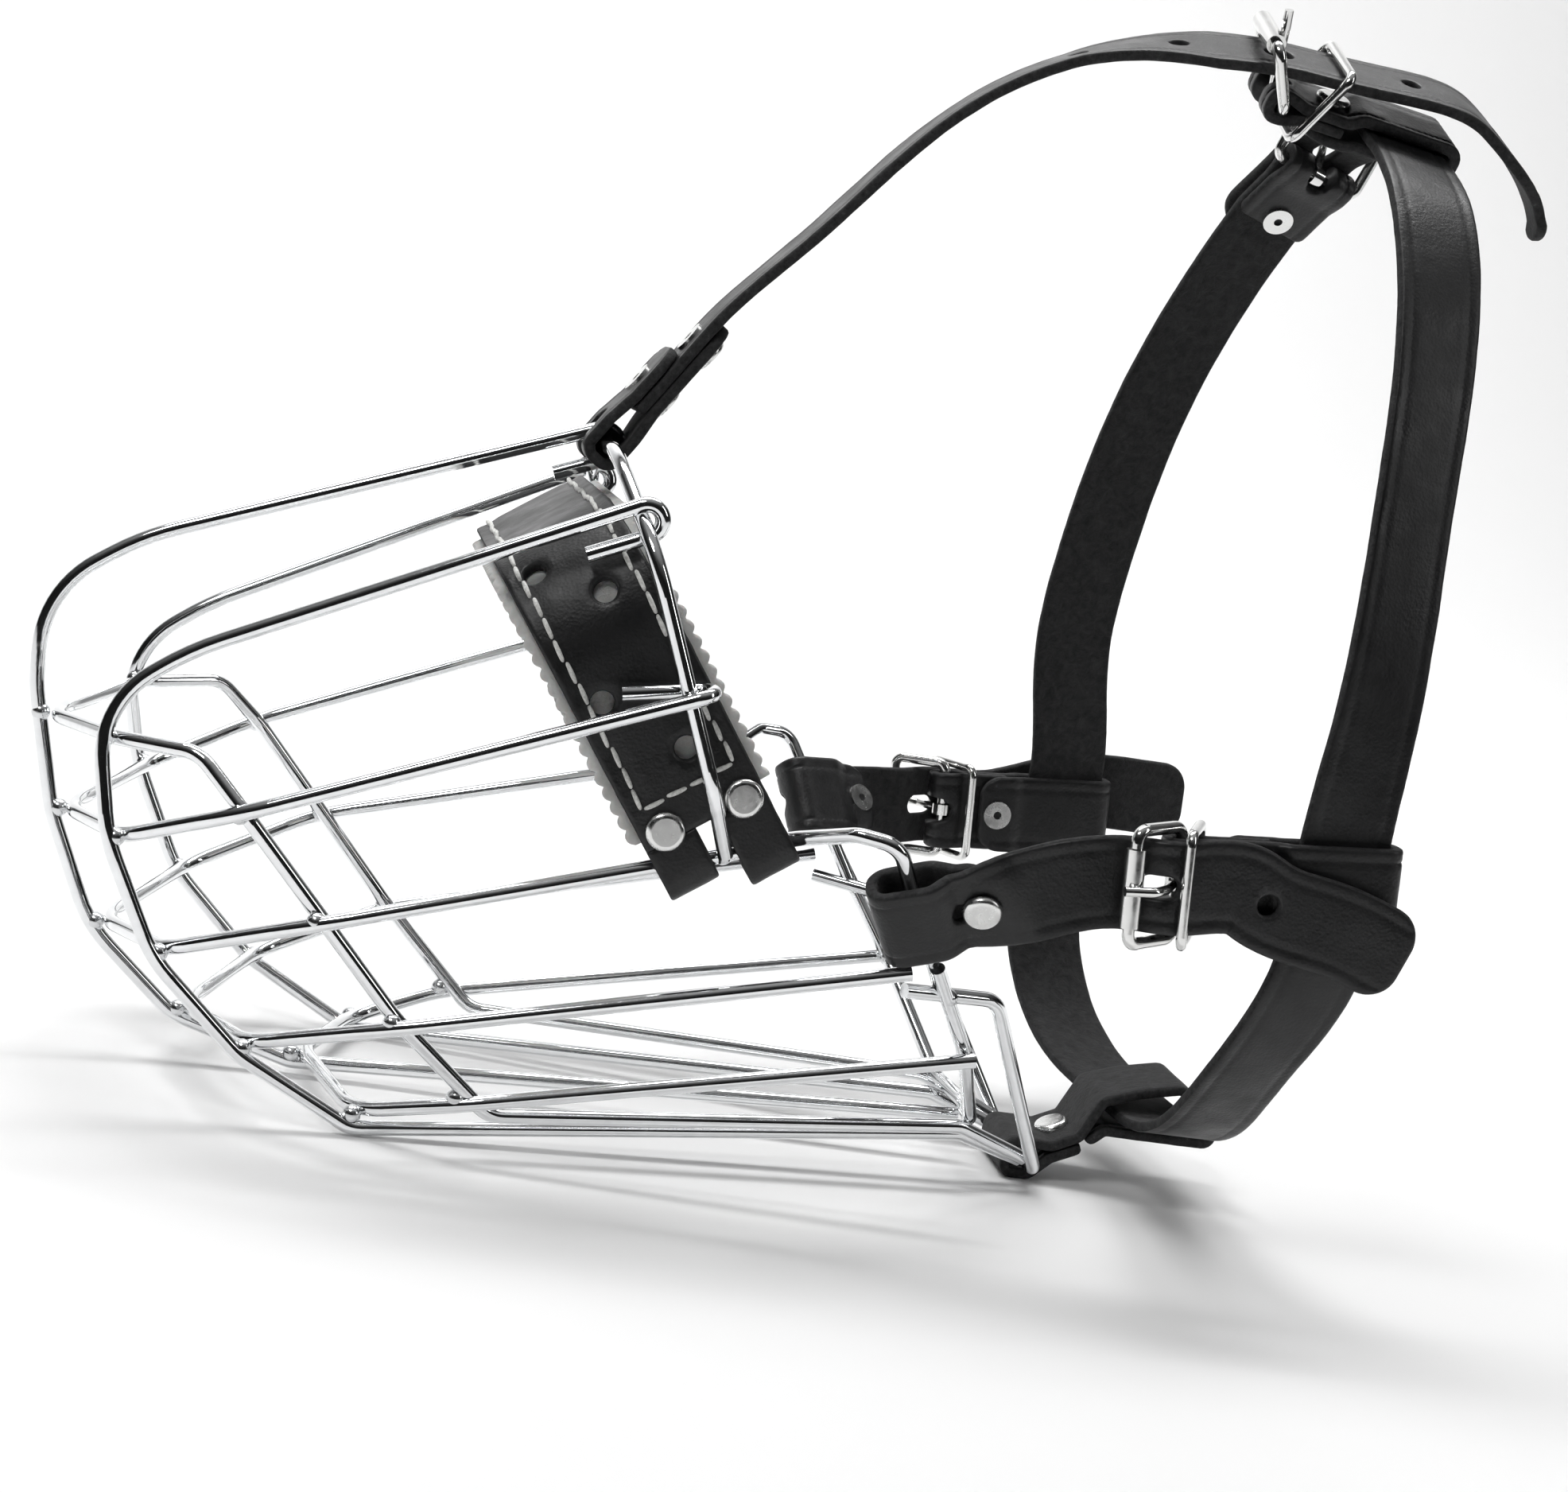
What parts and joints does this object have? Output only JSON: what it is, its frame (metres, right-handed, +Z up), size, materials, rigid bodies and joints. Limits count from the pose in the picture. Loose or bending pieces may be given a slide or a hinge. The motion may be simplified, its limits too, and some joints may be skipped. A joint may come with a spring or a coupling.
{
  "type": "basket muzzle",
  "caption": "Welded wire basket dog muzzle with a felt-lined leather nose pad and a buckled leather harness of neck collar, forehead strap, cheek straps and chin strap.",
  "frame": {"origin": "on the floor under the middle of the bounding box", "axes": "+Z up as the muzzle stands; nose towards -X, neck towards +X; +Y towards the dog's right side, the far side"},
  "size_m": [0.3119, 0.1552, 0.2657],
  "materials": {
    "basket_chrome": "bright chrome plate on steel wire",
    "buckle_nickel": "nickel plate",
    "rivet_nickel": "nickel plate, brushed by handling",
    "leather": "black dyed, fine grain outside, flesh side inside, creased edge lines",
    "felt": "off-white wool felt"
  },
  "bodies": {
    "basket": {"arch": "basket_chrome", "chin_bracket": "basket_chrome", "chin_rivet": "rivet_nickel", "chin_strap": "leather", "forehead_rivets": "rivet_nickel", "forehead_strap": "leather", "forehead_tab": "leather", "lower_rim": "basket_chrome", "pad_felt": "felt", "pad_leather": "leather", "pad_rivets": "rivet_nickel", "ring_1": "basket_chrome", "ring_2": "basket_chrome", "ring_3": "basket_chrome", "ring_4": "basket_chrome", "ring_5": "basket_chrome", "weld_beads": "basket_chrome", "wire_centre": "basket_chrome", "wire_far": "basket_chrome", "wire_near": "basket_chrome"},
    "harness": {"collar_buckle_frame": "buckle_nickel", "collar_rivet": "rivet_nickel", "collar_strap": "leather", "far_buckle_frame": "buckle_nickel", "far_cheek_rivet": "rivet_nickel", "far_cheek_strap": "leather", "far_tab": "leather", "far_tab_rivet": "rivet_nickel", "near_buckle_frame": "buckle_nickel", "near_cheek_rivet": "rivet_nickel", "near_cheek_strap": "leather", "near_tab": "leather", "near_tab_rivet": "rivet_nickel", "top_buckle_frame": "buckle_nickel", "top_tab": "leather", "top_tab_rivet": "rivet_nickel"},
    "collar_prong": {"collar_prong": "buckle_nickel"},
    "collar_roller": {"collar_roller": "buckle_nickel"},
    "far_keeper": {"far_keeper": "buckle_nickel"},
    "far_prong": {"far_prong": "buckle_nickel"},
    "far_roller": {"far_roller": "buckle_nickel"},
    "near_keeper": {"near_keeper": "buckle_nickel"},
    "near_prong": {"near_prong": "buckle_nickel"},
    "near_roller": {"near_roller": "buckle_nickel"},
    "top_keeper": {"top_keeper": "buckle_nickel"},
    "top_prong": {"top_prong": "buckle_nickel"},
    "top_roller": {"top_roller": "buckle_nickel"}
  },
  "joints": [
    {"name": "harness_tilt", "type": "hinge", "parent": "basket", "child": "harness", "pos_m": [0.02951, 0, 0.06801], "axis": [0, 1, 0], "range_deg": [-1, 4], "deforming": ["forehead_strap", "chin_strap"]},
    {"name": "top_prong_lift", "type": "hinge", "parent": "harness", "child": "top_prong", "pos_m": [0.0885, 0, 0.2485], "axis": [0.0484, 0.9073, 0.4178], "range_deg": [0, 9]},
    {"name": "top_roller_spin", "type": "hinge", "parent": "harness", "child": "top_roller", "pos_m": [0.08283, -0.00513, 0.2603], "axis": [-0.0484, -0.9073, -0.4178], "continuous": true},
    {"name": "top_keeper_slide", "type": "slide", "parent": "harness", "child": "top_keeper", "axis": [-0.9933, -0.0003, 0.1157], "range_m": [-0.0006, 0.0003]},
    {"name": "near_prong_lift", "type": "hinge", "parent": "harness", "child": "near_prong", "pos_m": [0.0783, -0.0665, 0.084], "axis": [-0.1, 0, 0.995], "range_deg": [0, 9]},
    {"name": "near_roller_spin", "type": "hinge", "parent": "harness", "child": "near_roller", "pos_m": [0.06696, -0.0733, 0.08286], "axis": [0.1, 0, -0.995], "continuous": true},
    {"name": "near_keeper_slide", "type": "slide", "parent": "harness", "child": "near_keeper", "axis": [-0.995, 0, -0.1], "range_m": [-0.0006, 0.0003]},
    {"name": "far_prong_lift", "type": "hinge", "parent": "harness", "child": "far_prong", "pos_m": [0.064, 0.0665, 0.069], "axis": [0.1, 0, -0.995], "range_deg": [0, 9]},
    {"name": "far_roller_spin", "type": "hinge", "parent": "harness", "child": "far_roller", "pos_m": [0.05266, 0.0733, 0.06786], "axis": [-0.1, 0, 0.995], "continuous": true},
    {"name": "far_keeper_slide", "type": "slide", "parent": "harness", "child": "far_keeper", "axis": [-0.995, 0, -0.1], "range_m": [-0.0006, 0.0003]},
    {"name": "collar_prong_lift", "type": "hinge", "parent": "harness", "child": "collar_prong", "pos_m": [0.112, 0.0278, 0.2358], "axis": [-0.9438, -0.2174, 0.2488], "range_deg": [0, 9]},
    {"name": "collar_roller_spin", "type": "hinge", "parent": "harness", "child": "collar_roller", "pos_m": [0.11577, 0.02584, 0.24838], "axis": [0.9438, 0.2174, -0.2488], "continuous": true}
  ]
}
